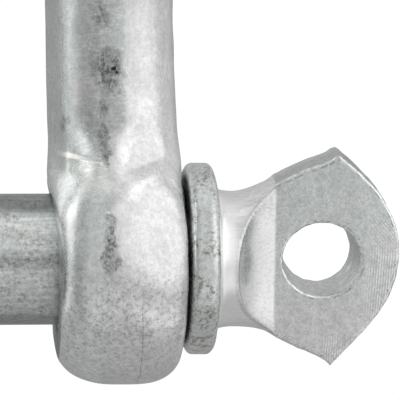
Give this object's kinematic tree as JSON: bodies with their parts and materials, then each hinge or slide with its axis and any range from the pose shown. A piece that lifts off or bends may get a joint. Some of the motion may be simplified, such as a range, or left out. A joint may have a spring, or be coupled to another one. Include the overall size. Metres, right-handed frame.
{
  "type": "bow shackle",
  "caption": "Galvanised bow shackle: a forged omega-shaped bow with two round ears, closed by a screw pin with a collar and a flat holed eye.",
  "frame": {"origin": "on the axis of the screw pin, midway between the two ears, with the pin home", "axes": "+X along the pin towards its eye, +Z from the pin to the crown of the bow, -Y is the front"},
  "size_m": [0.097, 0.0308, 0.1168],
  "materials": {
    "galvanised_bow": "satin",
    "galvanised_pin": "satin"
  },
  "bodies": {
    "bow": {"bow_body": "galvanised_bow"},
    "pin": {"screw_pin": "galvanised_pin"}
  },
  "joints": [
    {"name": "pin_withdraw", "type": "slide", "parent": "bow", "child": "pin", "axis": [1, 0, 0], "range_m": [0, 0.07]}
  ]
}
